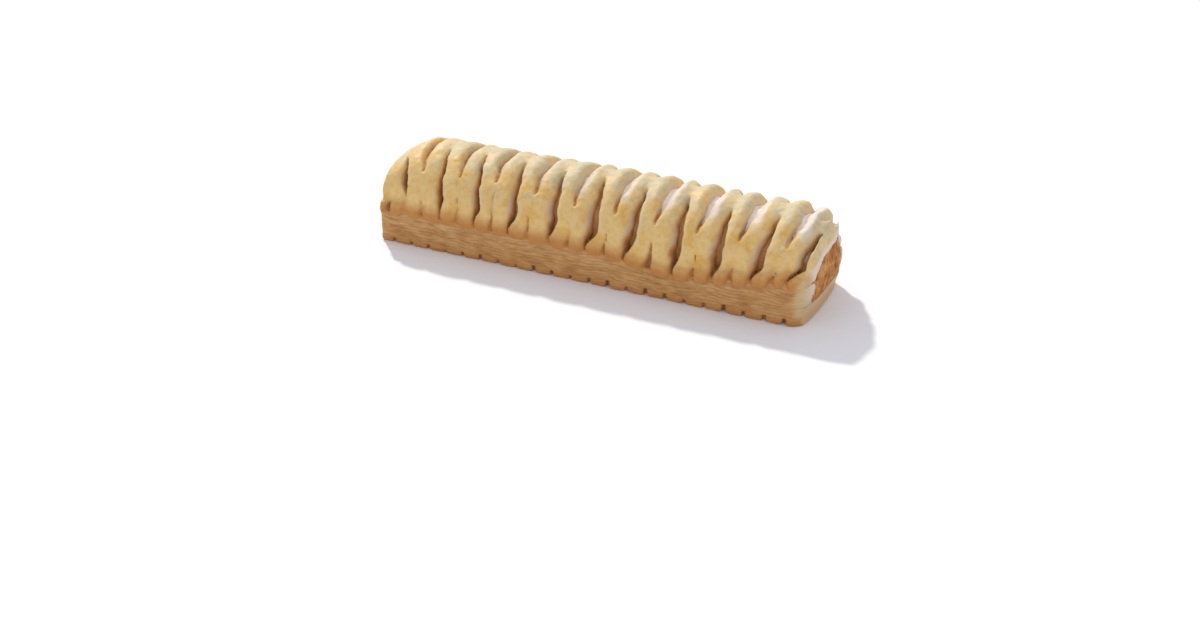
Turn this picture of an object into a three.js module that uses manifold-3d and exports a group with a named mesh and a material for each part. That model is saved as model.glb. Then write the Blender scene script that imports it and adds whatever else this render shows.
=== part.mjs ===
// A sausage roll: a long bar of puff pastry with an opened lattice top, cut off at both ends.
// Millimetres, +Z up. The bar lies along X and rests on Z = 0, with its near side towards -Y.
// It is three solids: the bottom sheet, the filling, and the top sheet whose slits have opened
// into a lattice. Both sheets show their leaves along the upright sides.
import * as THREE from 'three';
import { mergeVertices } from 'three/addons/utils/BufferGeometryUtils.js';
import Module from 'manifold-3d';

const wasm = await Module();
wasm.setup();

// The bar as a whole.
const BAR_LENGTH = 205;
const HALF_WIDTH = 25.5;
const CREST_HEIGHT = 44.3;
const LEFT_CREST_LOSS = 1.4; // the bar is this much lower towards its left end
const LOSS_SPAN = [-85, 5]; // between these places along the bar
const CREST_WAVE = 0.3;
const CREST_WAVE_RUN = 17; // mm of bar for each radian of the wave
const SPRING_HEIGHT = 15.8; // the dome springs from the upright sides here
const SIDE_PER_DEGREE = 0.467; // the length of side that one degree of the dome takes
const JOINT_GAP = 0.3; // between two solids that touch in the real bar
const FILLING_GAP = 0.4; // under the lid

// Both ends sink where the knife pressed the lid down, and the right one bulges.
const LEFT_SINK = 8.3;
const RIGHT_SINK = 12.5;
const LEFT_SINK_REACH = 19;
const RIGHT_SINK_REACH = 14;
const END_BULGE = 7.5;
const LEFT_BULGE = 0.7;
const BULGE_AT_FOOT = 0.37; // the share of the bulge that is left at the foot of the end
const BULGE_SPAN = [0, 18]; // the heights between which it grows
const BULGE_SQUARED = 0.85; // higher up the bulge reaches out to the sides by this share
const SQUARE_SPAN = [10, 27];
const FOOT_FLARE = 2.5; // the bottom corners of the right end stand out this far
const FLARE_HEIGHT = 17;
const FAR_BULGE = 1.5; // the far half of the right end stands out further low down
const FAR_BULGE_SPAN = [1, 7];
const FAR_SETBACK = 4.6; // and its top corner falls back from there
const FAR_SETBACK_SPAN = [15, 26];
const FAR_SPAN = [2, 22]; // from the middle line to the far corner

// The bottom sheet and the sealed edge of the top sheet make the flaky side.
const BASE_THICKNESS = 7.8;
const SIDE_SETBACK = 0.8; // the side lies this far inside the feet of the lattice
const LEAF_RELIEF = 0.5; // leaves stand in and out by this much
const LEAF_LAYERS = 2.1; // radians of layer for each mm of height
const FOOT_TUCK = 0.4; // the bottom edge is drawn in by this much
const SEAM_HEIGHT = 14.3; // the feet of the lattice stand on the side here
const SEAM_SAG = 3.6; // the feet hang lower right of the middle
const SAG_MIDDLE = 40; // where along the bar
const SAG_REACH = 20;
const SEAM_RISE = 2.8; // and the side has risen at the right end
const RISE_SPAN = [70, 92];
const SEAM_LIP = 0.9; // the lattice ends this far above the seam
const LID_THICKNESS = 5.6;
const LID_END_THINNING = 0.5;
const LID_SWELLING = 4; // the power by which the lid thickens from the crest to the sides
const SWELLING_LOSS = 1.5; // and what the power loses at the ends, where it thickens sooner
const SIDE_THICKNESS = 6.4;
const SIDE_END_THICKENING = 3.8;
const END_FULLNESS = 0.6; // the dome squares up towards the ends by this much
const PUFF = [-98.9, -21.9, 13.6]; // a leaf has puffed out at the left end of the seam
const PUFF_RADIUS = 3.6;

// Slits in staggered columns. Crest slits run over the top, side slits lie between them.
const COLUMN_PITCH = 19.4; // two crest slits, or two side slits, at the crest
const FOOT_PITCH = 18.3; // two side slits at the seam: the lattice fans out upwards
const FIRST_SIDE_SLIT = -95.6; // its top
const FIRST_SIDE_FOOT = -89.5;
const FIRST_CREST_SLIT = -85.4;
const CREST_FAN = 0.03; // crest slits draw in towards the bar's middle by this share at their ends
const CRACK_FAN = 0.935; // cracks below the crest slits, as a share of the slit's place
const CRACK_LEAN = 0.35; // each further crack leans more to the right

// Each slit's own size and how far it has crept from its even place, from left to right.
const SIDE_SLIT_WIDTH = [2.8, 2.9, 3, 3.8, 4.3, 5, 4.6, 4.5, 4.8, 4.4, 2.6];
const SIDE_SLIT_TIP = [24, 10, 8, 7, 11, 13, 16, 15, 21, 19, 12]; // degrees from the crest
const SIDE_SLIT_BOW = [0, 0.3, 1.6, 2.1, 1.3, 2.7, 2.2, 1.6, 1.1, 1, 3];
const TOE_SHARE = 0.29; // the share of a side slit that lies between the toes
const TOE_OPENING = 0.12; // and how far it is open there, as a share of its width
const TIP_POWER = 0.65; // how bluntly it narrows to its tip
const SIDE_TOP_CREEP = [0.3, -0.6, -2.1, -1.7, -0.6, -0.4, 0.6, 0.7, 1, 2.8, 1.4];
const SIDE_FOOT_CREEP = [-0.4, -0.3, -1.3, -2.6, -0.9, -1.9, -2.5, 1.6, 1.4, 0.2, -2.5];
const CREST_SLIT_WIDTH = [2.8, 3, 3.6, 4, 4, 4.8, 5.4, 5.8, 6, 5, 2.2];
const CREST_SLIT_END = [45, 44, 42, 47, 51, 51, 54, 54, 53, 52, 2]; // its near end
const SHORTEST_FAR_END = 45;
const FIRST_SLIT_LOW = 73; // degrees: the first near side slit stops above the foot
const CREST_CREEP = [-1.1, -1, -2.4, -1.1, -0.4, 0, 0.6, 0.8, 0.6, 2.2, -8.9];
const CRACK_WIDTH = [0.9, 0.8, 0.8, 0.9, 0.9, 0.9, 3.2, 0.9, 1, 0.9];
const CRACK_TOP = [73, 64, 50, 68, 72, 70, 70, 72, 70, 70];
const CRACK_CREEP = [0, -0.4, 0, -1.5, -0.6, -2, 0, 1.9, 0.7, -0.9];
const CRACK_DEPTH = 3;

// The section of a slit: ribs fall away to it over its shoulders, then its flanks go down,
// and each flank leans in by its slant, in mm for each mm of depth.
const SHOULDER_REACH = 3.9;
const SHOULDER_START = -0.6; // above the ribs, as a depth
const SHOULDER_DEPTH = 1.9;
const SIDE_SLANTS = { left: 0.45, right: 0.1 };
const CREST_SLANTS = { left: 0.15, right: 0.9 };
const CRACK_SLANTS = { left: 0.3, right: 0.3 };
const NARROWEST = 0.1; // half the width that the flanks leave open at the bottom
const PAST_THE_LID = 2; // cutters reach this far below the lid
const OVER_THE_LID = 3; // and this far above its surface in their middle

// Nicks along the bottom edges.
const NICK_PITCH = 8.94;
const NICK_WIDTH = 1.7;
const NICK_HEIGHT = 2.6;
const NICK_DEPTH = 2.4;
const NICK_COUNT = 22;
const FIRST_NICK = -96.6;

// How finely each surface is cut.
const PAST_THE_CUT = 2;
const BAR_STATIONS = 30;
const LID_STEPS = 14;
const INSIDE_STEPS = 7;
const SLIT_STEPS = [0, 0.1, 0.2, 0.3, 0.55, 0.8, 1]; // shares of a side slit's length
const CREST_STEPS = 8;

const { clamp, lerp, smoothstep, degToRad, radToDeg } = THREE.MathUtils;

// How far along its fall to an end the bar is: 0 in the middle part, 1 at the tip.
function endFall(x) {
  const left = 1 - (x + BAR_LENGTH / 2) / LEFT_SINK_REACH;
  const right = 1 - (BAR_LENGTH / 2 - x) / RIGHT_SINK_REACH;
  return clamp(Math.max(left, right), 0, 1) ** 2;
}

// The crest sinks towards both ends and waves a little between them.
function crestHeight(x) {
  const wave = CREST_WAVE * (Math.sin(x / CREST_WAVE_RUN + 0.6) - 1) * (1 - endFall(x));
  const loss = LEFT_CREST_LOSS * (1 - smoothstep(x, ...LOSS_SPAN));
  return CREST_HEIGHT + wave - loss - (x < 0 ? LEFT_SINK : RIGHT_SINK) * endFall(x);
}

// The lattice's feet sag right of the middle, and the side has risen at the right end.
function seamHeight(x) {
  const sag = SEAM_SAG * Math.exp(-(((x - SAG_MIDDLE) / SAG_REACH) ** 2));
  return SEAM_HEIGHT - sag + SEAM_RISE * smoothstep(x, ...RISE_SPAN);
}

// A place on the section at x: degrees from the crest, negative on the near side, and how
// deep below the surface. Past 90 degrees it goes straight down the side.
function onSection(x, degrees, depth) {
  const side = Math.sign(degrees);
  const turned = Math.min(Math.abs(degrees), 90);
  const fullness = 2 / (2 + END_FULLNESS * endFall(x));
  const rise = crestHeight(x) - SPRING_HEIGHT - depth;
  const out = Math.sin(degToRad(turned)) ** fullness;
  const up = Math.max(Math.cos(degToRad(turned)), 0) ** fullness;
  const below = (Math.abs(degrees) - turned) * SIDE_PER_DEGREE;
  return new THREE.Vector3(x, side * (HALF_WIDTH - depth) * out, SPRING_HEIGHT + rise * up - below);
}

// The degrees at which the surface comes down to a height.
function degreesAtHeight(x, height) {
  if (height <= SPRING_HEIGHT) {
    return 90 + (SPRING_HEIGHT - height) / SIDE_PER_DEGREE;
  }
  const share = (height - SPRING_HEIGHT) / (crestHeight(x) - SPRING_HEIGHT);
  return radToDeg(Math.acos(share ** ((2 + END_FULLNESS * endFall(x)) / 2)));
}

// The surface through rings of equal count. Flat caps close its ends, cut into triangles by
// the first ring's outline in its own plane. Without an outline the end rings are knife edges.
function loft(rings, outline) {
  const count = rings[0].length;
  const positions = rings.flat().flatMap((point) => point.toArray());
  const index = [];
  for (let ring = 0; ring < rings.length - 1; ring += 1) {
    for (let i = 0; i < count; i += 1) {
      const a = ring * count + i;
      const b = ring * count + ((i + 1) % count);
      index.push(a, b, b + count, a, b + count, a + count);
    }
  }
  const last = (rings.length - 1) * count;
  const caps = outline ? THREE.ShapeUtils.triangulateShape(outline, []) : [];
  if (outline && THREE.ShapeUtils.isClockWise(outline)) {
    caps.forEach((cap) => cap.reverse());
  }
  for (const [a, b, c] of caps) {
    index.push(c, b, a, last + a, last + b, last + c);
  }
  const geometry = new THREE.BufferGeometry();
  geometry.setAttribute('position', new THREE.Float32BufferAttribute(positions, 3));
  geometry.setIndex(index);
  return geometry;
}

// A manifold solid from a closed geometry, without the triangles that merging its vertices
// folded flat, and turned so that it faces outwards.
function solidFrom(geometry) {
  const bare = geometry.clone();
  bare.deleteAttribute('normal');
  bare.deleteAttribute('uv');
  const merged = mergeVertices(bare, 1e-4);
  const vertProperties = new Float32Array(merged.attributes.position.array);
  const corners = Array.from(merged.index.array);
  const triVerts = new Uint32Array(
    corners.filter((_, i) => {
      const [a, b, c] = corners.slice(i - (i % 3), i - (i % 3) + 3);
      return a !== b && b !== c && c !== a;
    }),
  );
  const made = new wasm.Manifold(new wasm.Mesh({ numProp: 3, vertProperties, triVerts }));
  if (made.volume() > 0) {
    return made;
  }
  triVerts.reverse();
  return new wasm.Manifold(new wasm.Mesh({ numProp: 3, vertProperties, triVerts }));
}

function geometryFrom(solid) {
  const mesh = solid.getMesh();
  const geometry = new THREE.BufferGeometry();
  geometry.setAttribute('position', new THREE.BufferAttribute(mesh.vertProperties, 3));
  geometry.setIndex(new THREE.BufferAttribute(mesh.triVerts, 1));
  geometry.computeVertexNormals();
  return geometry;
}

// Stations along the bar, closer together towards the ends and reaching a little past both cuts.
function barStations() {
  const reach = BAR_LENGTH / 2 + PAST_THE_CUT;
  return Array.from({ length: BAR_STATIONS + 1 }, (_, i) => {
    const t = lerp(-1, 1, i / BAR_STATIONS);
    return reach * lerp(t, Math.sin((Math.PI / 2) * t), 0.5);
  });
}

// A bar whose section at each station is a ring of points in Y and Z.
function barOf(ringAt) {
  const rings = barStations().map(ringAt);
  return solidFrom(loft(rings, rings[0].map((point) => new THREE.Vector2(point.y, point.z))));
}

// What the knife leaves: a block whose ends have the shape of the bar's two cut faces.
function betweenTheCuts() {
  const tall = CREST_HEIGHT + 4;
  const wide = 2 * HALF_WIDTH + 6;
  const block = new THREE.BoxGeometry(BAR_LENGTH, wide, tall, 1, 8, 8);
  block.translate(0, 0, tall / 2 - 1);
  const place = block.attributes.position;
  for (let i = 0; i < place.count; i += 1) {
    const across = clamp(Math.abs(place.getY(i)) / HALF_WIDTH, 0, 1);
    const height = place.getZ(i);
    const square = 1 - BULGE_SQUARED * smoothstep(height, ...SQUARE_SPAN);
    const grown = lerp(BULGE_AT_FOOT, 1, smoothstep(height, ...BULGE_SPAN));
    const bulge = (1 - square * across ** 3) * grown;
    if (place.getX(i) > 0) {
      const flare = FOOT_FLARE * clamp(1 - height / FLARE_HEIGHT, 0, 1);
      const low = FAR_BULGE * smoothstep(height, ...FAR_BULGE_SPAN);
      const high = FAR_SETBACK * smoothstep(height, ...FAR_SETBACK_SPAN);
      const far = (low - high) * smoothstep(place.getY(i), ...FAR_SPAN);
      const reach = BAR_LENGTH / 2 - END_BULGE * (1 - bulge) + flare + far;
      place.setX(i, Math.min(reach, BAR_LENGTH / 2));
    } else {
      place.setX(i, -BAR_LENGTH / 2 + LEFT_BULGE * (1 - bulge));
    }
  }
  return solidFrom(block);
}

// How far a leaf of pastry stands out of the side, by its height and place along the bar.
function leaf(height, x, side) {
  const layered = Math.sin(height * LEAF_LAYERS + side);
  const torn = Math.sin(x / 9 + height * 1.3 + 2 * side) * Math.sin(x / 23 - height);
  return LEAF_RELIEF * (0.6 * layered + 0.4 * torn);
}

// Points up one flaky side, from one height to another.
function flakySide(x, side, low, high, steps) {
  return Array.from({ length: steps + 1 }, (_, i) => {
    const height = lerp(low, high, i / steps);
    const out = HALF_WIDTH - SIDE_SETBACK + leaf(height, x, side);
    return new THREE.Vector3(x, side * out, height);
  });
}

// The bottom sheet: flat underneath, with its leaves showing on both long sides.
function pastryBase(cuts) {
  const sheet = barOf((x) => {
    const near = flakySide(x, -1, 0, BASE_THICKNESS, 5);
    const far = flakySide(x, 1, 0, BASE_THICKNESS, 5);
    near[0].y += FOOT_TUCK;
    far[0].y -= FOOT_TUCK;
    return [...near.reverse(), ...far];
  });
  return sheet.intersect(cuts).subtract(nicks());
}

// Short nicks with round tops across the bottom edge of both sides.
function nicks() {
  const outline = new THREE.Shape();
  const half = NICK_WIDTH / 2;
  outline.moveTo(-half, -1);
  outline.lineTo(half, -1);
  outline.lineTo(0.6 * half, NICK_HEIGHT);
  outline.lineTo(-0.6 * half, NICK_HEIGHT);
  outline.closePath();
  let all = null;
  for (let i = 0; i < NICK_COUNT; i += 1) {
    for (const side of [-1, 1]) {
      const nick = new THREE.ExtrudeGeometry(outline, {
        depth: NICK_DEPTH + 3,
        bevelEnabled: false,
      });
      nick.rotateX(Math.PI / 2);
      const deep = HALF_WIDTH - SIDE_SETBACK - NICK_DEPTH;
      nick.translate(FIRST_NICK + i * NICK_PITCH, side < 0 ? -deep : deep + NICK_DEPTH + 3, 0);
      const solid = solidFrom(nick);
      all = all ? all.add(solid) : solid;
    }
  }
  return all;
}

function lidThickness(x, degrees) {
  const steep = Math.min(Math.abs(degrees) / 90, 1) ** (LID_SWELLING - SWELLING_LOSS * endFall(x));
  const top = LID_THICKNESS - LID_END_THINNING * endFall(x);
  return lerp(top, SIDE_THICKNESS + SIDE_END_THICKENING * endFall(x), steep);
}

// The inner line of the lid, from one side over the crest to the other, and deeper by a gap.
function insideLine(x, gap) {
  return Array.from({ length: INSIDE_STEPS + 1 }, (_, i) => {
    const degrees = lerp(-90, 90, i / INSIDE_STEPS);
    return onSection(x, degrees, lidThickness(x, degrees) + gap);
  });
}

// The filling: a log from end to end, flat below and round above, that fills the lid.
function sausageFilling(cuts) {
  const bottom = BASE_THICKNESS + JOINT_GAP;
  const log = barOf((x) => {
    const over = insideLine(x, FILLING_GAP).reverse();
    const far = new THREE.Vector3(x, over[0].y, bottom);
    const near = new THREE.Vector3(x, over[INSIDE_STEPS].y, bottom);
    return [far, ...over, near];
  });
  return log.intersect(cuts);
}

// A cutter that follows the dome. Each station has a place along the bar, degrees from the
// crest, half the width of the slit and a share of the full shoulder. It ends in knife edges.
function slitCutter(stations, slants, depth) {
  const rings = stations.map(({ x, degrees, half, round }) => {
    const floor = depth ?? lidThickness(x, degrees) + PAST_THE_LID;
    const shoulder = Math.min(SHOULDER_DEPTH, floor / 2);
    const wall = (slant) => [
      [half + SHOULDER_REACH * round, SHOULDER_START],
      [half, shoulder],
      [Math.max(half - slant * (floor - shoulder), Math.min(NARROWEST, half)), floor],
    ];
    const right = wall(slants.right).map(([reach, down]) => onSection(x + reach, degrees, down));
    const left = wall(slants.left).map(([reach, down]) => onSection(x - reach, degrees, down));
    return [...right, ...left.reverse(), onSection(x, degrees, -OVER_THE_LID * round)];
  });
  return solidFrom(loft(rings));
}

// A slit between two rows of strips: a crack at the toes, then wide, and pointed at its top.
function sideSlit(i, side) {
  const pick = side < 0 ? i : SIDE_SLIT_WIDTH.length - 1 - i;
  const top = FIRST_SIDE_SLIT + i * COLUMN_PITCH + SIDE_TOP_CREEP[i];
  const foot = FIRST_SIDE_FOOT + i * FOOT_PITCH - side * SIDE_FOOT_CREEP[pick];
  const stopsShort = i === 0 && side < 0;
  const low = stopsShort ? FIRST_SLIT_LOW : degreesAtHeight(foot, seamHeight(foot) + SEAM_LIP);
  const stations = SLIT_STEPS.map((t) => {
    const between = lerp(TOE_OPENING, 1, smoothstep(t, 0, TOE_SHARE));
    const open = t < TOE_SHARE ? between : ((1 - t) / (1 - TOE_SHARE)) ** TIP_POWER;
    const bow = -side * SIDE_SLIT_BOW[pick] * smoothstep(t, 0, TOE_SHARE) * ((1 - t) / (1 - TOE_SHARE));
    const ends = t === 0 || t === 1;
    return {
      x: lerp(foot, top, t) + bow,
      degrees: side * lerp(low, SIDE_SLIT_TIP[pick], t),
      half: ends ? 0 : (SIDE_SLIT_WIDTH[i] / 2) * open,
      round: ends ? 0 : 0.15 + 0.85 * smoothstep(t, 0.1, 0.5) * Math.min(3 * (1 - t), 1),
    };
  });
  return slitCutter(stations, SIDE_SLANTS);
}

function crestPlace(i) {
  return FIRST_CREST_SLIT + i * COLUMN_PITCH + CREST_CREEP[i];
}

// A slit over the crest, from a point on one side to a point on the other.
function crestSlit(i) {
  const far = Math.max(CREST_SLIT_END[i], SHORTEST_FAR_END);
  const stations = Array.from({ length: CREST_STEPS + 1 }, (_, step) => {
    const t = step / CREST_STEPS;
    const open = Math.max(Math.sin(Math.PI * t), 0);
    return {
      x: crestPlace(i) * (1 - CREST_FAN * smoothstep(Math.abs(2 * t - 1), 0.4, 1)),
      degrees: lerp(-CREST_SLIT_END[i], far, t),
      half: (CREST_SLIT_WIDTH[i] / 2) * open,
      round: Math.min(1.3 * open, 1),
    };
  });
  return slitCutter(stations, CREST_SLANTS);
}

// A crack that splits the foot under a crest slit into two toes.
function footCrack(i, side) {
  const pick = side < 0 ? i : CRACK_WIDTH.length - 1 - i;
  const foot = crestPlace(i) * CRACK_FAN - side * CRACK_CREEP[pick];
  const low = degreesAtHeight(foot, seamHeight(foot) - 1.5);
  const stations = [0, 0.25, 0.6, 1].map((t) => ({
    x: foot + (CRACK_LEAN * i - 1) * t,
    degrees: side * lerp(low, CRACK_TOP[pick], t),
    half: (CRACK_WIDTH[pick] / 2) * Math.min(6 * t, 1.2 * (1 - t)),
    round: 0.3 * Math.min(4 * t, 1 - t),
  }));
  return slitCutter(stations, CRACK_SLANTS, CRACK_DEPTH);
}

// The largest body of a solid, without the crumbs that crossing cutters leave loose.
function withoutCrumbs(solid) {
  return solid.decompose().reduce((a, b) => (a.volume() > b.volume() ? a : b));
}

// The leaf that has puffed out of the seam beside the left cut.
function puffedLeaf() {
  const puff = new THREE.SphereGeometry(PUFF_RADIUS, 10, 6);
  puff.translate(...PUFF);
  return solidFrom(puff);
}

// The top sheet: sealed edges that stand on the bottom sheet, and the lattice over the filling.
function pastryLattice(cuts) {
  const bottom = BASE_THICKNESS + JOINT_GAP;
  let sheet = barOf((x) => {
    const seam = seamHeight(x);
    const lip = degreesAtHeight(x, seam + SEAM_LIP);
    const over = Array.from({ length: LID_STEPS + 1 }, (_, i) =>
      onSection(x, lerp(-lip, lip, i / LID_STEPS), 0),
    );
    const near = flakySide(x, -1, bottom, seam, 3);
    const far = flakySide(x, 1, bottom, seam, 3).reverse();
    const under = insideLine(x, 0).reverse();
    const farFoot = new THREE.Vector3(x, under[0].y, bottom);
    const nearFoot = new THREE.Vector3(x, under[INSIDE_STEPS].y, bottom);
    return [...near, ...over, ...far, farFoot, ...under, nearFoot];
  });
  sheet = sheet.intersect(cuts).add(puffedLeaf());
  for (let i = 0; i < SIDE_SLIT_WIDTH.length; i += 1) {
    sheet = sheet.subtract(sideSlit(i, -1)).subtract(sideSlit(i, 1));
  }
  for (let i = 0; i < CREST_SLIT_WIDTH.length; i += 1) {
    sheet = sheet.subtract(crestSlit(i));
  }
  for (let i = 0; i < CRACK_WIDTH.length; i += 1) {
    sheet = sheet.subtract(footCrack(i, -1)).subtract(footCrack(i, 1));
  }
  return withoutCrumbs(sheet);
}

function bakedPastry(colour) {
  return new THREE.MeshStandardMaterial({ color: colour, roughness: 0.62, metalness: 0 });
}

function cookedFilling() {
  return new THREE.MeshStandardMaterial({ color: 0xc08a5c, roughness: 0.7, metalness: 0 });
}

function named(name, solid, material) {
  const mesh = new THREE.Mesh(geometryFrom(solid), material);
  mesh.name = name;
  return mesh;
}

const cuts = betweenTheCuts();
const group = new THREE.Group();
group.add(named('pastry_base', pastryBase(cuts), bakedPastry(0xc08a4e)));
group.add(named('sausage_filling', sausageFilling(cuts), cookedFilling()));
group.add(named('pastry_lattice', pastryLattice(cuts), bakedPastry(0xd9b678)));

export default group;
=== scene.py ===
import itertools
import math

import bpy
import numpy as np
from mathutils import Matrix, Vector


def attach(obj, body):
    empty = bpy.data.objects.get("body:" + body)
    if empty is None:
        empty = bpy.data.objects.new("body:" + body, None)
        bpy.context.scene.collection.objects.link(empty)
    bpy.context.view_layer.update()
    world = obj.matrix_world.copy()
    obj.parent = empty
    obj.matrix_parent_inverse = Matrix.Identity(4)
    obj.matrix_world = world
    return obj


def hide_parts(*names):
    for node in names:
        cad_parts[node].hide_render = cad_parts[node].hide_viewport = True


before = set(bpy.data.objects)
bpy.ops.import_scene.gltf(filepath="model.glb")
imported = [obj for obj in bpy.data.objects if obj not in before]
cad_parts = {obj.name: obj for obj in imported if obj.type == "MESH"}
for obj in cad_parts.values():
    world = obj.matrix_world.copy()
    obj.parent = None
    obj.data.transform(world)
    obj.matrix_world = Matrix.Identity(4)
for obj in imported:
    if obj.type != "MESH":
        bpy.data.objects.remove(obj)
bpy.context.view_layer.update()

# ---------------------------------------------------------------------------
# Bottom sheet: puff pastry, rolled out, docked along its edges and laid flat on the tray.
# Its leaves have risen apart in the oven, so both long sides show them as fine wavy lines
# with torn rims, and the underside stays flat. The knife cut it off at both ends.
# ---------------------------------------------------------------------------

# Sizes are in mm, with the bar along X, its near side towards -Y and the tray at Z = 0.
BAR_LENGTH = 205
HALF_WIDTH = 25.5
BASE_THICKNESS = 7.95
SIDE_SETBACK = 0.8  # the leafy side lies this far inside the feet of the lattice
END_BULGE = 7.5  # the middle of the right cut stands out past its corners by this much
LEFT_BULGE = 0.7  # and the middle of the left cut by this much
BULGE_SQUARING = 0.85  # high up, the sides of a cut stand out by this share of it too
FOOT_BULGE = 0.37  # down at the tray, this share of it is left
LEFT_FOOT = 1.3  # the leafy edges stand out at the left end by this much
FOOT_FLARE = 2.5  # the bottom corners of the right end stand out this far
FLARE_HEIGHT = 17  # and fall back to nothing at this height
FAR_BULGE = 1.5  # the far half of the right end stands out further low down
FAR_SETBACK = 4.6  # and its top corner falls back from there
SHEET_OVERLAP = 0.25  # the sheets have baked into each other along the edges
LEAF_PITCH = 1.45  # one risen leaf and the gap below it
SEAM_LEAF = 9  # leaves are counted upwards, and this is the count where the sheets meet
LEAF_RIM = 0.13  # how far a leaf's rim stands out of its own gap
LEAF_TEAR = 0.4  # how far torn and whole leaves differ
NICK_PITCH = 8.94
FIRST_NICK = -96.6
NICK_COUNT = 22
NICK_DEPTH = 2.2
NICK_WIDTH = 2  # down at the tray
NICK_HEIGHT = 3.1
NICK_TAPER = 9  # the sides of a nick would meet at this height
NICK_LOBE = 0.45  # the bottom leaf swells out between the nicks by this much
LOBE_HEIGHT = 1.7  # the middle of that swelling
LOBE_REACH = 1.5
CORNER_ROUNDING = 5  # the upright corners at the right cut
LEFT_ROUNDING = 0.8  # the left cut is crisper
FOOT_ROUNDING = 0.7  # the bottom edges


def swell(value, low, high):
    """0 below low, 1 above high, and a soft step between them."""
    t = np.clip((value - low) / (high - low), 0, 1)
    return t * t * (3 - 2 * t)


def lumps(points, size, seed):
    """Seeded smooth noise, about -1 to 1, whose lumps are size mm apart."""
    slopes = np.random.default_rng(seed).normal(size=(24, 24, 24, 3))
    slopes /= np.linalg.norm(slopes, axis=-1, keepdims=True)
    place = np.asarray(points, float) / size
    cell = np.floor(place).astype(int)
    inside = place - cell
    share = inside**3 * (inside * (6 * inside - 15) + 10)
    total = np.zeros(place.shape[:-1])
    for corner in itertools.product((0, 1), repeat=3):
        slope = slopes[tuple(((cell + corner) % 24)[..., k] for k in range(3))]
        weight = np.where(corner, share, 1 - share).prod(-1)
        total += weight * ((inside - corner) * slope).sum(-1)
    return 1.6 * total


def at(*coordinates):
    """Places as one array, from coordinates that are arrays or numbers."""
    return np.stack(np.broadcast_arrays(*coordinates), -1)


def past_the_cuts(x, y, z):
    """How far outside the nearer cut end a place is. It is below 0 within the bar."""
    across = np.minimum(np.abs(y) / HALF_WIDTH, 1)
    square = 1 - BULGE_SQUARING * swell(z, 10, 27)
    bulge = (1 - square * across**3) * (FOOT_BULGE + (1 - FOOT_BULGE) * swell(z, 0, 18))
    flare = FOOT_FLARE * np.clip(1 - z / FLARE_HEIGHT, 0, 1)
    far = (FAR_BULGE * swell(z, 1, 7) - FAR_SETBACK * swell(z, 15, 26)) * swell(y, 2, 22)
    right = np.minimum(BAR_LENGTH / 2 - END_BULGE * (1 - bulge) + flare + far, BAR_LENGTH / 2)
    left = -BAR_LENGTH / 2 + LEFT_BULGE * (1 - bulge)
    left = left - LEFT_FOOT * (1 - swell(z, 12.5, 16)) * swell(np.abs(y), 12, 20)
    return np.maximum(x - right, left - x)


def leaf_wander(x, z, side):
    """How far the leaves of a side have wandered down from level, in waves 31, 9 and 4 mm long."""
    sway = 1.2 * lumps(at(x, 40 * side, 0), 31, 11) + 0.8 * lumps(at(x, 40 * side, z), 9, 12)
    return sway + 0.3 * lumps(at(x, 40 * side, 2 * z), 4, 17)


def leaf_count(x, z, side):
    """Which leaf of a side a place is on: the whole part is the leaf, the rest how far up it."""
    return (z + leaf_wander(x, z, side) - BASE_THICKNESS) / LEAF_PITCH + SEAM_LEAF


def sheets_meet(x, y):
    """The height where the top sheet lies on the bottom one: level inside, and outside in the
    gap between two leaves."""
    near, far = (leaf_wander(x, BASE_THICKNESS, side) for side in (-1, 1))
    return BASE_THICKNESS - np.clip(np.where(y < 0, near, far), -1, 1) * swell(np.abs(y), 20, 23)


def leafy_side(x, z, side):
    """How far from the bar's middle plane the surface of a leafy side is."""
    count = leaf_count(x, z, side)
    leaf = np.floor(count)
    rise = count - leaf
    rim = 1 - (2 * rise - 1) ** 2
    torn = 0.7 * lumps(at(x, 19.7 * leaf, 50 * side), 9, 13)
    torn = torn + 0.6 * lumps(at(x, 13.3 * leaf, 50 * side), 3.5, 14)
    from_nick = np.abs((x - FIRST_NICK + NICK_PITCH / 2) % NICK_PITCH - NICK_PITCH / 2)
    lobe = NICK_LOBE * np.exp(-(((z - LOBE_HEIGHT) / LOBE_REACH) ** 2))
    lobe = lobe * swell(from_nick, 0.4, 2.6)
    return HALF_WIDTH - SIDE_SETBACK + LEAF_RIM * (rim - 0.6) + LEAF_TEAR * torn + lobe


def past_the_sides(x, y, z):
    """How far outside the leafy sides the points of a grid are."""
    rows = np.broadcast_arrays(x[:, 0], z[0])
    near, far = (leafy_side(*rows, side)[:, None, :] for side in (-1, 1))
    return np.abs(y) - np.where(y < 0, near, far)


def round_meet(a, b, radius):
    """What two solids have in common, with the edge where they meet rounded to a radius."""
    corner = np.hypot(np.maximum(a + radius, 0), np.maximum(b + radius, 0))
    return np.minimum(np.maximum(a, b), -radius) + corner


def round_join(a, b, radius):
    """Two solids as one, with the corner between them filled to a radius."""
    return -round_meet(-a, -b, radius)


def nicks(x, y, z):
    """How far outside the docking nicks along the bottom edges a place is. No two are alike,
    and they are bolder towards the right."""
    number = np.clip(np.round((x - FIRST_NICK) / NICK_PITCH), 0, NICK_COUNT - 1).astype(int)
    own = np.random.default_rng(21).uniform(0.6, 1.15, (2, NICK_COUNT))
    own = own * np.linspace(0.7, 1.1, NICK_COUNT)
    size = np.where(y < 0, own[0][number], own[1][number])
    half = NICK_WIDTH / 2 * size * (1 - z / NICK_TAPER)
    across = np.abs(x - FIRST_NICK - number * NICK_PITCH) - half
    deep = HALF_WIDTH - SIDE_SETBACK - NICK_DEPTH * size - np.abs(y)
    return np.maximum(np.maximum(across, z - NICK_HEIGHT * size), deep)


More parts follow.
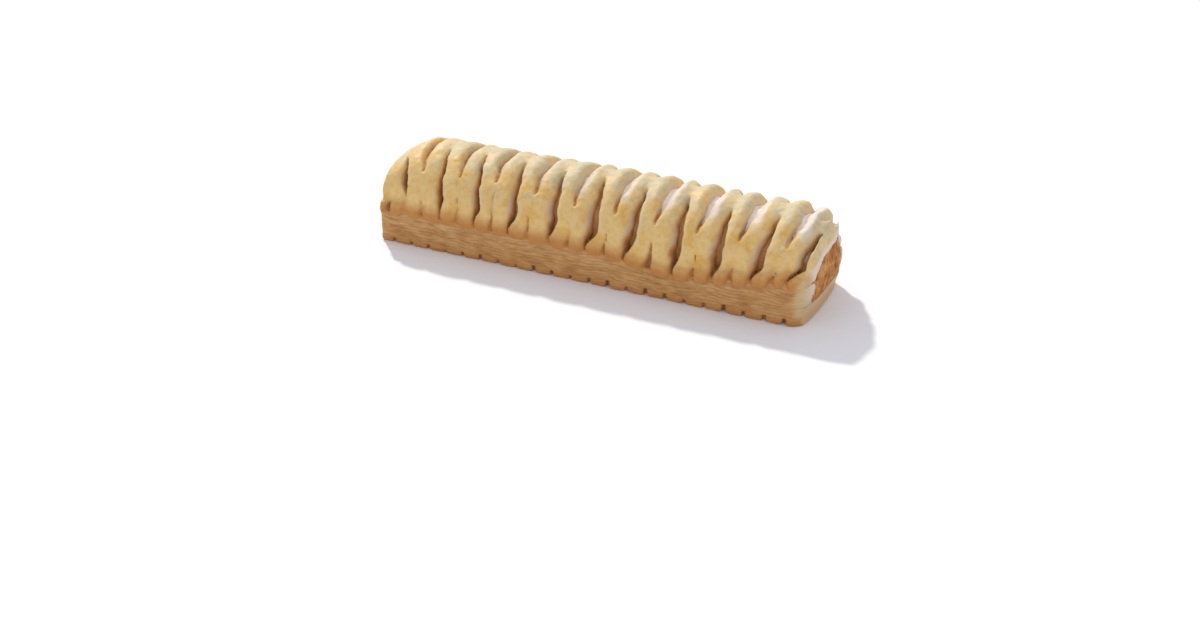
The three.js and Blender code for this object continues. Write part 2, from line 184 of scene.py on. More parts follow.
def skin(field, *axes):
    """The surface where a field over a grid is 0, as points and four-sided faces. There is a
    point in each cell that the surface passes through, and a face round each grid line that it
    crosses. The field is below 0 inside."""
    cells = np.array(field.shape) - 1
    weights = np.array([cells[1] * cells[2], cells[2], 1])
    found, corners, rings = [], [], []
    for along in range(3):
        step = np.eye(3, dtype=int)[along]
        first = field[tuple(slice(0, n - s) for n, s in zip(field.shape, step))]
        second = field[tuple(slice(s, None) for s in step)]
        edge = np.argwhere((first < 0) != (second < 0))
        a = first[tuple(edge.T)]
        b = second[tuple(edge.T)]
        place = np.stack([axis[edge[:, k]] for k, axis in enumerate(axes)], 1)
        length = axes[along][edge[:, along] + 1] - axes[along][edge[:, along]]
        place[:, along] += length * a / (a - b)
        u = np.eye(3, dtype=int)[(along + 1) % 3]
        v = np.eye(3, dtype=int)[(along + 2) % 3]
        ring = np.stack([(edge - w) @ weights for w in (0 * u, u, u + v, v)], 1)
        ring[a > 0] = ring[a > 0, ::-1]
        rings.append(ring)
        found.append(np.repeat(place, 4, 0))
        corners.append(ring.ravel())
    corners = np.concatenate(corners)
    _, points_of = np.unique(corners, return_inverse=True)
    found = np.concatenate(found)
    counts = np.bincount(points_of)
    points = np.stack([np.bincount(points_of, found[:, k]) / counts for k in range(3)], 1)
    return points, points_of.reshape(-1, 4)


def outward(points, faces):
    """The direction out of the surface at each point."""
    a, b, c, d = points[faces].transpose(1, 0, 2)
    across = np.cross(c - a, d - b)
    total = np.zeros_like(points)
    for k in range(3):
        total[:, k] = np.bincount(faces.ravel(), np.repeat(across[:, k], 4), len(points))
    return total / np.maximum(np.linalg.norm(total, axis=1, keepdims=True), 1e-12)


def baked_piece(name, points, faces, finish, replaces, slot, **measures):
    """A piece of the bar from points in mm, with what its finish reads at each point."""
    mesh = bpy.data.meshes.new(name)
    mesh.from_pydata(points / 1000, [], faces)
    for measure, values in measures.items():
        layer = mesh.attributes.new(measure, "FLOAT", "POINT")
        layer.data.foreach_set("value", np.asarray(values, np.float32))
    mesh.shade_smooth()
    mesh.materials.append(finish)
    piece = bpy.data.objects.new(name, mesh)
    bpy.context.scene.collection.objects.link(piece)
    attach(piece, "root")
    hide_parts(replaces)
    return piece


def grid(low, high, pitch):
    """Evenly spaced grid lines from low to high."""
    return np.linspace(low, high, int(round((high - low) / pitch)) + 1)


def linear(code):
    """An sRGB hex colour as the linear RGBA that a socket takes."""
    parts = [int(code[k : k + 2], 16) / 255 for k in (1, 3, 5)]
    return [c / 12.92 if c <= 0.04045 else ((c + 0.055) / 1.055) ** 2.4 for c in parts] + [1]


def new_finish(name):
    """A finish that has no nodes yet."""
    finish = bpy.data.materials.new(name)
    finish.use_nodes = True
    finish.node_tree.nodes.clear()
    return finish


def add(finish, kind, settings=None, **links):
    """Adds a node to a finish. Its inputs, by name or as i0, i1 and so on, each get a number, a
    colour or the output of another node. A pattern's Scale is in lumps to the metre."""
    node = finish.node_tree.nodes.new("ShaderNode" + kind)
    for name, value in (settings or {}).items():
        if name == "stops":
            ramp = node.color_ramp
            while len(ramp.elements) < len(value):
                ramp.elements.new(0.5)
            for element, (position, code) in zip(ramp.elements, value):
                element.position = position
                element.color = linear(code)
        else:
            setattr(node, name, value)
    for name, value in links.items():
        key = int(name[1:]) if name[1:].isdigit() else name.replace("_", " ")
        if isinstance(value, bpy.types.NodeSocket):
            finish.node_tree.links.new(value, node.inputs[key])
        else:
            node.inputs[key].default_value = value
    return node


# Leafy crust: the cut edges of many thin leaves of baked dough, dry and matt. Leaves that
# stand out are paler, and the gaps between them, browned and painted with shade, read as fine
# dark lines.
LEAF_TAN = "#bf8b4e"
LEAF_PALE = "#d3a56a"
LEAF_GAP = "#a5723c"
LEAF_SCORCHED = "#b87a3c"  # the lowest leaves, next to the hot tray
DOUGH_PALE = "#dcc8b4"  # the inside of the sheet, where the knife went through
DOUGH_MOIST = "#cbb08a"  # under the filling, whose juices have kept it moist
DOUGH_BROWNED = "#cda475"  # towards the tray
CORNER_CREAM = "#d3b987"  # where the leafy edge wraps around the right corners
COLOUR = {"data_type": "RGBA"}  # mixes two colours
SOFT = {"interpolation_type": "SMOOTHSTEP"}  # goes softly from one number to another


def leafy_colour(finish):
    """Colour and bump height of the leafy sides, from each point's own leaf."""
    place = add(finish, "TexCoord").outputs["Object"]
    leaf = add(finish, "Attribute", {"attribute_name": "leaf"}).outputs["Fac"]
    rise = add(finish, "Math", {"operation": "FRACT"}, i0=leaf).outputs[0]
    stops = [(0.0, "#000000"), (0.3, "#d0d0d0"), (0.72, "#ffffff"), (1.0, "#202020")]
    proud = add(finish, "ValToRGB", {"stops": stops}, i0=rise).outputs["Color"]
    # Streaks about 1 mm high and 6 mm long follow the leaves: they are single thin leaves. Torn
    # patches about 10 mm across lie over them.
    parts = add(finish, "SeparateXYZ", i0=place).outputs
    run = add(finish, "Math", {"operation": "MULTIPLY"}, i0=parts["X"], i1=0.42).outputs[0]
    climb = add(finish, "Math", {"operation": "MULTIPLY"}, i0=leaf, i1=0.0026).outputs[0]
    streaks = add(finish, "CombineXYZ", i0=run, i1=parts["Y"], i2=climb).outputs[0]
    fine = add(finish, "TexNoise", i0=streaks, Scale=420, Detail=3, Roughness=0.5).outputs[0]
    torn = add(finish, "TexNoise", i0=place, Scale=95, Detail=4, Roughness=0.65).outputs[0]
    mixed = add(finish, "Mix", i0=0.5, i2=fine, i3=torn).outputs[0]
    stops = [(0.33, LEAF_GAP), (0.47, LEAF_TAN), (0.6, LEAF_PALE)]
    tone = add(finish, "ValToRGB", {"stops": stops}, i0=mixed).outputs["Color"]
    # The scorching fades out from 1 to 5.5 mm above the tray.
    heights = {"From_Min": 0.0055, "From_Max": 0.001, "To_Max": 0.7}
    low = add(finish, "MapRange", SOFT, Value=parts["Z"], **heights).outputs[0]
    tone = add(finish, "Mix", COLOUR, i0=low, i6=tone, i7=linear(LEAF_SCORCHED)).outputs[2]
    # The gaps between leaves are browned and painted with shade only here and there.
    open_gap = add(finish, "MapRange", SOFT, Value=torn, From_Min=0.42, From_Max=0.62).outputs[0]
    lines = add(finish, "MapRange", Value=proud, To_Min=0.65, To_Max=0.0).outputs[0]
    lines = add(finish, "Math", {"operation": "MULTIPLY"}, i0=lines, i1=open_gap).outputs[0]
    tone = add(finish, "Mix", COLOUR, i0=lines, i6=tone, i7=linear(LEAF_GAP)).outputs[2]
    relief = add(finish, "Mix", i0=0.6, i2=proud, i3=fine).outputs[0]
    return tone, relief


leafy_crust = new_finish("leafy_crust")
tone, relief = leafy_colour(leafy_crust)
wrapped, cut = (
    add(leafy_crust, "Attribute", {"attribute_name": measure}).outputs["Fac"]
    for measure in ("wrapped", "cut")
)
tone = add(leafy_crust, "Mix", COLOUR, i0=wrapped, i6=tone, i7=linear(CORNER_CREAM)).outputs[2]
# The cut is browned at the tray and moist 4 mm higher up, under the filling.
place = add(leafy_crust, "TexCoord").outputs["Object"]
height = add(leafy_crust, "SeparateXYZ", i0=place).outputs["Z"]
high = add(leafy_crust, "MapRange", SOFT, Value=height, From_Min=0.003, From_Max=0.007).outputs[0]
doughs = {"i6": linear(DOUGH_BROWNED), "i7": linear(DOUGH_MOIST)}
inside = add(leafy_crust, "Mix", COLOUR, i0=high, **doughs).outputs[2]
tone = add(leafy_crust, "Mix", COLOUR, i0=cut, i6=tone, i7=inside).outputs[2]
bump = add(leafy_crust, "Bump", Strength=0.7, Distance=0.0004, Height=relief).outputs[0]
matt = {"Roughness": 0.72, "IOR": 1.45}
shader = add(leafy_crust, "BsdfPrincipled", Base_Color=tone, Normal=bump, **matt)
add(leafy_crust, "OutputMaterial", Surface=shader.outputs[0])

# The mesh is fine where the leaves show and coarse in the middle, where it is hidden.
edge_rows = grid(19.5, 27, 0.45)
xs = grid(-104.5, 104.5, 0.7)
ys = np.concatenate([-edge_rows[::-1], grid(-17.5, 17.5, 2.5), edge_rows])
zs = grid(-0.8, 9, 0.3)
x, y, z = np.meshgrid(xs, ys, zs, indexing="ij", sparse=True)
corner = np.where(x < 0, LEFT_ROUNDING, CORNER_ROUNDING)
sheet = round_meet(past_the_sides(x, y, z), past_the_cuts(x, y, z), corner)
sheet = round_meet(sheet, -z, FOOT_ROUNDING)
sheet = np.maximum(sheet, z - sheets_meet(x, y) - SHEET_OVERLAP * swell(np.abs(y), 20, 22))
sheet = round_meet(sheet, -nicks(x, y, z), 0.6)
points, faces = skin(sheet, xs, ys, zs)
normals = outward(points, faces)
px, py, pz = points.T
crumbs = 0.22 * lumps(points, 5, 15) + 0.1 * lumps(points, 1.9, 16)
cut = swell(past_the_cuts(px, py, pz), -0.6, -0.15) * swell(np.abs(normals[:, 0]), 0.5, 0.8)
cut = cut * swell(HALF_WIDTH - np.abs(py), 1.5, 3.5)
# The crumb stands out of the sides and the cuts only: the faces that lie on something are flat.
points += normals * (crumbs * swell(pz, 0.2, 1.5) * (np.abs(normals[:, 2]) < 0.8))[:, None]
points[:, 2] = np.maximum(points[:, 2], 0)
baked_piece(
    "bottom_sheet",
    points,
    faces,
    leafy_crust,
    "pastry_base",
    "flaky_side",
    leaf=leaf_count(px, pz, np.sign(py)),
    cut=cut,
    wrapped=0.8 * swell(past_the_cuts(px, py, pz), -3.4, -1) * swell(pz, 1.5, 6) * (px > 0),
)

# ---------------------------------------------------------------------------
# Filling: seasoned mince, piped along the bottom sheet as one log from end to end. It fills
# the lid, shows as a rough brown face at both cuts and lies bare under each open slit.
# ---------------------------------------------------------------------------

CREST_HEIGHT = 44.3
LEFT_CREST_LOSS = 1.4  # the bar is this much lower towards its left end
SPRING_HEIGHT = 15.8  # the dome springs from the upright sides here
SIDE_PER_DEGREE = 0.467  # the length of side that one degree of the dome takes
LEFT_SINK = 8.3  # the crest falls away to the left cut by this much
RIGHT_SINK = 12.5  # and to the right cut
LEFT_SINK_REACH = 19  # over this length of the bar
RIGHT_SINK_REACH = 14
CREST_WAVE = 0.3  # in between it waves by this much
END_FULLNESS = 0.6  # the dome squares up towards the ends by this much
LID_THICKNESS = 5.6  # at the crest
LID_END_THINNING = 0.5
SIDE_THICKNESS = 6.4  # at the foot of the dome
SIDE_END_THICKENING = 5
MINCE_GRAIN = 3.2  # one crumb of mince
MINCE_RELIEF = 0.35
MINCE_GRIP = 0.5  # it has risen into the underside of the lid by this much
COLUMN_PITCH = 19.4  # two crest slits, or two side slits, at the crest
FIRST_CREST_SLIT = -85.4
# How far right of its place in the row each crest slit opened.
CREST_CREEP = [-1.1, -1, -2.4, -1.1, -0.4, 0, 0.6, 0.8, 0.6, 2.2, -9.4]


def end_fall(x):
    """How far along its fall to an end the bar is: 0 in the middle part, 1 at the tip."""
    left = 1 - (x + BAR_LENGTH / 2) / LEFT_SINK_REACH
    right = 1 - (BAR_LENGTH / 2 - x) / RIGHT_SINK_REACH
    return np.clip(np.maximum(left, right), 0, 1) ** 2


def crest_height(x):
    """The crest sinks towards both ends and waves a little between them."""
    wave = CREST_WAVE * (np.sin(x / 17 + 0.6) - 1) * (1 - end_fall(x))
    loss = LEFT_CREST_LOSS * (1 - swell(x, -85, 5))
    sink = np.where(x < 0, LEFT_SINK, RIGHT_SINK)
    return CREST_HEIGHT + wave - loss - sink * end_fall(x)


def below_the_crust(x, y, z):
    """Depth below the bar's outside in mm, and degrees from the crest. Down the upright sides
    the degrees go on past 90."""
    full = 2 + END_FULLNESS * end_fall(x)
    rise = crest_height(x) - SPRING_HEIGHT
    out = np.abs(y) / HALF_WIDTH
    up = np.maximum((z - SPRING_HEIGHT) / rise, 0)
    reach = np.maximum((out**full + up**full) ** (1 / full), 1e-6)
    steep = (out / reach) ** (full - 1) / HALF_WIDTH
    slope = np.maximum(np.hypot(steep, (up / reach) ** (full - 1) / rise), 1e-9)
    degrees = np.degrees(np.arctan2(out ** (full / 2), up ** (full / 2)))
    degrees = degrees + np.maximum(SPRING_HEIGHT - z, 0) / SIDE_PER_DEGREE
    return (1 - reach) / slope, degrees


def lid_thickness(x, degrees):
    """The top sheet is thicker down its sides and where the knife pressed it at the ends."""
    top = LID_THICKNESS - LID_END_THINNING * end_fall(x)
    sides = SIDE_THICKNESS + SIDE_END_THICKENING * end_fall(x)
    return top + (sides - top) * np.minimum(degrees / 90, 1) ** (4 - 1.5 * end_fall(x))


# Cooked mince: moist, ground and set by baking. Pale and pinkish where the crest slits lie
# open, partly painted light there, and browner down the sides, partly from its own juices and
# partly painted shade low in the side slits, with darker specks of seasoning.
LIT_MINCE_PALE = "#fdf0e6"  # in the crest slits, partly painted light
MINCE_TAN = "#bd8e58"  # high in the side slits
SHADED_MINCE_BROWN = "#a87440"  # and low in them, partly painted shade
MINCE_CUT = "#be7d3a"  # where the knife went through
MINCE_LEAN = "#985a26"
MINCE_CRUMB = "#cf975a"
SPECK_BROWN = "#70431c"
SHADING = {"data_type": "RGBA", "blend_type": "MULTIPLY"}  # darkens one colour by another

cooked_mince = new_finish("cooked_mince")
place = add(cooked_mince, "TexCoord").outputs["Object"]
cut, opened = (
    add(cooked_mince, "Attribute", {"attribute_name": measure}).outputs["Fac"]
    for measure in ("cut", "opened")
)
# Crumbs about 2 mm across, in clumps of 7 mm.
grain = add(cooked_mince, "TexNoise", i0=place, Scale=480, Detail=5, Roughness=0.6).outputs[0]
mottle = add(cooked_mince, "TexNoise", i0=place, Scale=150, Detail=3, Roughness=0.55).outputs[0]
height = add(cooked_mince, "SeparateXYZ", i0=place).outputs["Z"]
# Painted light and shade: the mince is darker lower down and palest in the crest slits.
high = add(cooked_mince, "MapRange", SOFT, Value=height, From_Min=0.018, From_Max=0.033).outputs[0]
browns = {"i6": linear(SHADED_MINCE_BROWN), "i7": linear(MINCE_TAN)}
tone = add(cooked_mince, "Mix", COLOUR, i0=high, **browns).outputs[2]
tone = add(cooked_mince, "Mix", COLOUR, i0=opened, i6=tone, i7=linear(LIT_MINCE_PALE)).outputs[2]
# The cut is mottled in patches about 4 mm across: lean meat is darker, fat and crumb paler.
patches = add(cooked_mince, "TexNoise", i0=place, Scale=230, Detail=3, Roughness=0.6).outputs[0]
stops = [(0.34, MINCE_LEAN), (0.5, MINCE_CUT), (0.64, MINCE_CRUMB)]
meat = add(cooked_mince, "ValToRGB", {"stops": stops}, i0=patches).outputs["Color"]
tone = add(cooked_mince, "Mix", COLOUR, i0=cut, i6=tone, i7=meat).outputs[2]
clumps = add(cooked_mince, "Mix", i0=0.5, i2=grain, i3=mottle).outputs[0]
stops = [(0.3, "#b8a088"), (0.52, "#ffffff"), (0.7, "#fffaf0")]
shade = add(cooked_mince, "ValToRGB", {"stops": stops}, i0=clumps).outputs["Color"]
tone = add(cooked_mince, "Mix", SHADING, i0=0.6, i6=tone, i7=shade).outputs[2]
# Specks of seasoning about 2 mm across, one in each 5 mm or so.
cell = add(cooked_mince, "TexVoronoi", i0=place, Scale=190, Randomness=1.0).outputs["Distance"]
specks = add(cooked_mince, "MapRange", Value=cell, From_Min=0.26, From_Max=0.13).outputs[0]
specks = add(cooked_mince, "Math", {"operation": "MULTIPLY"}, i0=specks, i1=cut).outputs[0]
tone = add(cooked_mince, "Mix", COLOUR, i0=specks, i6=tone, i7=linear(SPECK_BROWN)).outputs[2]
bump = add(cooked_mince, "Bump", Strength=0.8, Distance=0.0005, Height=grain).outputs[0]
moist = {"Roughness": 0.85, "IOR": 1.33}
shader = add(cooked_mince, "BsdfPrincipled", Base_Color=tone, Normal=bump, **moist)
add(cooked_mince, "OutputMaterial", Surface=shader.outputs[0])

xs = grid(-104.5, 104.5, 0.9)
ys = grid(-22, 22, 0.9)
zs = grid(6.8, 41, 0.9)
x, y, z = np.meshgrid(xs, ys, zs, indexing="ij", sparse=True)
depth, degrees = below_the_crust(x, y, z)
log = np.maximum(lid_thickness(x, degrees) - MINCE_GRIP - depth, BASE_THICKNESS - z)
log = round_meet(log, past_the_cuts(x, y, z) + 0.3, 0.8)
points, faces = skin(log, xs, ys, zs)
normals = outward(points, faces)
px, py, pz = points.T
cut = swell(past_the_cuts(px, py, pz), -1.4, -0.6) * swell(np.abs(normals[:, 0]), 0.3, 0.7)
# The last crest slit hardly opened, so it doesn't count here.
crest_places = [FIRST_CREST_SLIT + i * COLUMN_PITCH + creep for i, creep in enumerate(CREST_CREEP)]
opened = 1 - swell(np.abs(px[:, None] - crest_places[:-1]).min(1), 4, 6.5)
opened = opened * (1 - swell(below_the_crust(px, py, pz)[1], 48, 60))
crumbs = lumps(points, MINCE_GRAIN, 31) + 0.5 * lumps(points, 0.45 * MINCE_GRAIN, 32)
off_the_sheet = pz > BASE_THICKNESS + 0.3
points += normals * (MINCE_RELIEF * (crumbs - 0.3 * cut) * off_the_sheet)[:, None]
baked_piece(
    "mince_filling",
    points,
    faces,
    cooked_mince,
    "sausage_filling",
    "filling",
    cut=cut,
    opened=opened,
)

# ---------------------------------------------------------------------------
# Top sheet: puff pastry, slit by a roller in staggered columns, pulled open over the filling,
# pressed down onto the bottom sheet along both sides and brushed with glaze. In the oven the
# strips rose into soft ribs, and below the seam its sealed edge shows the same leaves.
# ---------------------------------------------------------------------------

SEAM_HEIGHT = 14.3
SEAM_SAG = 3.6  # right of the middle the feet come down further by this much
SEAM_RISE = 2.8  # and at the right end less far
FOOT_PITCH = 18.3  # two side slits at the seam: the lattice fans out upwards
FIRST_SIDE_SLIT = -95.6  # at its top
FIRST_SIDE_FOOT = -89.5  # at the seam
SLIT_FOOT_LIFT = 0.9  # a side slit stops this far above the feet's lower edge
CREST_FAN = 0.03  # crest slits draw in towards the bar's middle by this share at their ends
CRACK_FAN = 0.935  # cracks stand under the crest slits, drawn in to this share
CRACK_LEAN = 0.35  # each further crack leans more to the right
CRACK_FOOT_DROP = 1.5  # a crack runs out below the feet's lower edge
# Slit by slit from the left: widths, the degrees from the crest at which they end, how far they
# bow, and how far right of their places in the row they opened. The far side has the ends,
# bows and feet in reverse order.
SIDE_SLIT_WIDTH = [2.8, 2.9, 3, 3.8, 4.3, 5, 4.6, 4.5, 4.8, 4.4, 3.4]
SIDE_SLIT_TIP = [24, 10, 8, 7, 11, 13, 16, 15, 21, 19, 12]
SIDE_SLIT_BOW = [0, 0.3, 1.6, 2.1, 1.3, 2.7, 2.2, 1.6, 1.1, 1, 3]
SIDE_TOP_CREEP = [0.3, -0.6, -2.1, -1.7, -0.6, -0.4, 0.6, 0.7, 1, 2.8, 1.4]
SIDE_FOOT_CREEP = [-0.4, -0.3, -1.3, -2.6, -0.9, -1.9, -2.5, 1.6, 1.4, 0.2, -2.5]
CREST_SLIT_WIDTH = [2.8, 3, 3.6, 4, 4, 4.8, 5.4, 5.8, 6, 5, 1.3]
CREST_SLIT_END = [45, 44, 42, 47, 51, 51, 54, 54, 53, 52, 2]
CRACK_WIDTH = [0.9, 0.8, 0.8, 0.9, 0.9, 0.9, 3.2, 0.9, 1, 0.9]
CRACK_TOP = [73, 64, 50, 68, 72, 70, 70, 72, 70, 70]
CRACK_CREEP = [0, -0.4, 0, -1.5, -0.6, -2, 0, 1.9, 0.7, -0.9]
CRACK_DEPTH = 3
FAR_CREST_END = 45  # on the far side no crest slit ends higher up than this
THROUGH = 99  # the depth of a slit that goes right through the sheet
MM_PER_DEGREE = 0.48  # along the dome
SLIT_REACH = 10  # a slit changes nothing further away than this
VALLEY_SHARE = 0.3  # ribs fall away to a slit by this share of its width
VALLEY_REACH = 3.2  # over this distance beside it
VALLEY_END = 6  # and past its ends
RIB_ROUNDING = 0.7  # the strips round over into a slit by this share of its width
CRISP_RIGHT = 0.8  # but their left edges, on the right of each slit, are crisper by this share
SIDE_SLANTS = (0.25, 0.1)  # by these slopes its left and its right flank lean in
CREST_SLANTS = (0.15, 0.9)
CRACK_SLANTS = (0.5, 0.3)
SLANT_PIVOT = 1.5  # slits have their own width at this depth
FIRST_SLIT_LOW = 73  # the first side slit on the near side stops above the foot, in degrees
TOE_BULGE = 1.2  # the boldest toes stand out by this much
TOE_WAIST = 1.3  # and the strips are drawn in above them
TOE_HEIGHT = 5.6
WAIST_RISE = 1.6  # the waist is narrowest this far above the toe
WAIST_REACH = 2.2
FLUSH_DEPTH = 0.6  # the faintest toes lie back by this much at their lower edge
END_ROUNDING = 2.2  # the lid's outer edge at the right cut, and more at its upright corners
END_LOBES = ((95.6, 0.7, 1.7), (100.6, 2.5, 2.4))  # place, height and reach along the crest
PUFF = (-101.3, -23.3, 15.6)  # the leaf that puffed out at the left end of the seam
PUFF_RADIUS = 2.5
PUFF_TALLNESS = 1.3
PUFF_CRACK = -98.9  # between that leaf and the first toe
PUFF_CRACK_ENDS = (-95, -78)
PUFF_CRACK_WIDTH = 1.7


def seam_height(x):
    """The feet sag right of the middle, and the side has risen at the right end."""
    sag = SEAM_SAG * np.exp(-(((x - 40) / 20) ** 2))
    return SEAM_HEIGHT - sag + SEAM_RISE * swell(x, 70, 92)


def degrees_at(x, height):
    """The degrees at which the outside comes down to a height."""
    share = np.clip((height - SPRING_HEIGHT) / (crest_height(x) - SPRING_HEIGHT), 0, 1)
    over = np.degrees(np.arccos(share ** ((2 + END_FULLNESS * end_fall(x)) / 2)))
    return over + np.maximum(SPRING_HEIGHT - height, 0) / SIDE_PER_DEGREE


def along_a_slit(slit):
    """The grid cells near a slit, and there: how far a place is right of its middle and past
    its ends in mm, and its share of the slit's length."""
    low, high = slit["from"], slit["to"]
    places = slit["middle"](np.linspace(0, 1, 5))
    near = (xs > places.min() - SLIT_REACH) & (xs < places.max() + SLIT_REACH)
    # A side slit needs only the grid rows of its own side, and a crest slit needs them all.
    rows = ys * low > -60 if low * high > 0 else np.full(len(ys), True)
    part = np.ix_(near, rows, zs > 0)
    along = (turned[part] - low) / (high - low)
    beyond = np.maximum(np.maximum(-along, along - 1), 0) * abs(high - low) * MM_PER_DEGREE
    t = np.clip(along, 0, 1)
    wobble = 0.25 * np.sin(turned[part] / 5 + low) + 0.12 * np.sin(turned[part] / 2.1 + high)
    return part, x[near] - slit["middle"](t) - wobble, beyond, t


def valley(fall, slit):
    """Deepens how far the ribs' surface falls away towards a slit, also past its ends."""
    part, off, beyond, t = along_a_slit(slit)
    down = slit["valley"](t) * np.exp(-((off / VALLEY_REACH) ** 2) - (beyond / VALLEY_END) ** 2)
    fall[part] = np.maximum(fall[part], down)


def cut_slit(lid, slit):
    """Cuts a slit or crack out of the lid. Its flanks lean in by the slants, in mm for each mm
    of depth, and its left rims are rounder than its right ones."""
    part, off, beyond, t = along_a_slit(slit)
    rightward = swell(off, -1, 1)
    half = slit["width"](t) / 2
    walls = np.where(beyond > 0, np.hypot(off, 1.5 * beyond), np.abs(off) - half)
    left_slant, right_slant = slit["slants"]
    slant = left_slant + (right_slant - left_slant) * rightward
    walls = walls + slant * (np.clip(depth[part], -1, 8) - SLANT_PIVOT)
    walls = np.maximum(walls / np.hypot(1, slant), depth[part] - slit["floor"])
    lid[part] = round_meet(lid[part], -walls, slit["rounding"](t) * (1 - CRISP_RIGHT * rightward))


# Glazed crust: the outer leaf of the dough, pulled smooth and brushed with a thin glaze, so
# it is satin, cream on top and golden down the slopes, where the glaze ran and browned.
CREST_CREAM = "#cfbf97"
GLAZE_GOLD = "#e2bf7b"
GLAZE_AMBER = "#ddb05c"  # where the glaze gathered
FOOT_BROWN = "#bf823c"
SLIT_DOUGH = "#e4d5c6"  # dough that the roller laid bare, baked without glaze
SLIT_TAN = "#cfb094"  # the same on the slopes
SLIT_GOLD = "#c8965a"  # deeper down
SHADED_SLIT_BROWN = "#ae7946"  # the foot of a slit, where juices gathered, and painted shade

glazed_crust = new_finish("glazed_crust")
leaf_tone, leaf_relief = leafy_colour(glazed_crust)
place = add(glazed_crust, "TexCoord").outputs["Object"]
side, bare, browned, wrapped, glazed, foot, cut, stretched = (
    add(glazed_crust, "Attribute", {"attribute_name": measure}).outputs["Fac"]
    for measure in ("side", "bare", "browned", "wrapped", "glazed", "foot", "cut", "stretched")
)
# The glaze lies in patches about 9 mm across with finer ragged rims, and gathers here and
# there in smaller, browner ones.
patches = add(glazed_crust, "TexNoise", i0=place, Scale=115, Detail=4, Roughness=0.55).outputs[0]
gathered = add(glazed_crust, "TexNoise", i0=place, Scale=140, Detail=3, Roughness=0.5).outputs[0]
glaze = add(glazed_crust, "Math", {"operation": "ADD"}, i0=glazed, i1=patches).outputs[0]
glaze = add(glazed_crust, "MapRange", SOFT, Value=glaze, From_Min=0.47, From_Max=0.86).outputs[0]
crusts = {"i6": linear(CREST_CREAM), "i7": linear(GLAZE_GOLD)}
tone = add(glazed_crust, "Mix", COLOUR, i0=glaze, **crusts).outputs[2]
amber = add(glazed_crust, "MapRange", SOFT, Value=gathered, From_Min=0.47, From_Max=0.68)
amber = amber.outputs[0]
amber = add(glazed_crust, "Math", {"operation": "MULTIPLY"}, i0=amber, i1=glaze).outputs[0]
tone = add(glazed_crust, "Mix", COLOUR, i0=amber, i6=tone, i7=linear(GLAZE_AMBER)).outputs[2]
tone = add(glazed_crust, "Mix", COLOUR, i0=foot, i6=tone, i7=linear(FOOT_BROWN)).outputs[2]
# The outer leaf is freckled: it browned unevenly, in flecks about 2 mm across.
flecks = add(glazed_crust, "TexNoise", i0=place, Scale=420, Detail=4, Roughness=0.6).outputs[0]
stops = [(0.3, "#f0e0c8"), (0.5, "#fdf9f2"), (0.66, "#ffffff")]
shade = add(glazed_crust, "ValToRGB", {"stops": stops}, i0=flecks).outputs["Color"]
tone = add(glazed_crust, "Mix", SHADING, i0=0.8, i6=tone, i7=shade).outputs[2]
# Pale rims: partly bare dough, partly painted highlight on the rims that face the lamp.
tone = add(glazed_crust, "Mix", COLOUR, i0=stretched, i6=tone, i7=linear(SLIT_DOUGH)).outputs[2]
# Down a slit the dough is pale at its rims, then golden, then brown, and browner lower down
# the slopes than at the crest. The brown is partly baked and partly painted shade, deeper in the
# slit.
stops = [(0.0, SLIT_DOUGH), (0.22, SLIT_TAN), (0.5, SLIT_GOLD), (1.0, SHADED_SLIT_BROWN)]
wall = add(glazed_crust, "ValToRGB", {"stops": stops}, i0=browned).outputs["Color"]
tone = add(glazed_crust, "Mix", COLOUR, i0=bare, i6=tone, i7=wall).outputs[2]
tone = add(glazed_crust, "Mix", COLOUR, i0=side, i6=tone, i7=leaf_tone).outputs[2]
tone = add(glazed_crust, "Mix", COLOUR, i0=wrapped, i6=tone, i7=linear(CORNER_CREAM)).outputs[2]
# The cut is moist at the seam between the sheets and pale from 6 mm above it.
height = add(glazed_crust, "SeparateXYZ", i0=place).outputs["Z"]
high = add(glazed_crust, "MapRange", SOFT, Value=height, From_Min=0.008, From_Max=0.014).outputs[0]
doughs = {"i6": linear(DOUGH_MOIST), "i7": linear(DOUGH_PALE)}
inside = add(glazed_crust, "Mix", COLOUR, i0=high, **doughs).outputs[2]
tone = add(glazed_crust, "Mix", COLOUR, i0=cut, i6=tone, i7=inside).outputs[2]
# Blisters about 2 mm across, with a finer crumb on them. The glaze is smoother than bare crust.
blisters = add(glazed_crust, "TexNoise", i0=place, Scale=480, Detail=3, Roughness=0.5).outputs[0]
relief = add(glazed_crust, "Mix", i0=side, i2=blisters, i3=leaf_relief).outputs[0]
bump = add(glazed_crust, "Bump", Strength=0.6, Distance=0.0004, Height=relief).outputs[0]
satin = add(glazed_crust, "MapRange", Value=glaze, To_Min=0.66, To_Max=0.52).outputs[0]
satin = {"Roughness": satin, "IOR": 1.47}
shader = add(glazed_crust, "BsdfPrincipled", Base_Color=tone, Normal=bump, **satin)
add(glazed_crust, "OutputMaterial", Surface=shader.outputs[0])

# The grid is fine in height where the leaves show, and coarser over the dome.
xs = grid(-105, 105, 0.75)
ys = grid(-28.08, 28.08, 0.72)
zs = np.concatenate([grid(6.6, 16.5, 0.36), grid(17.1, 46.2, 0.68)])
x, y, z = np.meshgrid(xs, ys, zs, indexing="ij", sparse=True)
depth, degrees = below_the_crust(x, y, z)
turned = degrees * np.sign(y)

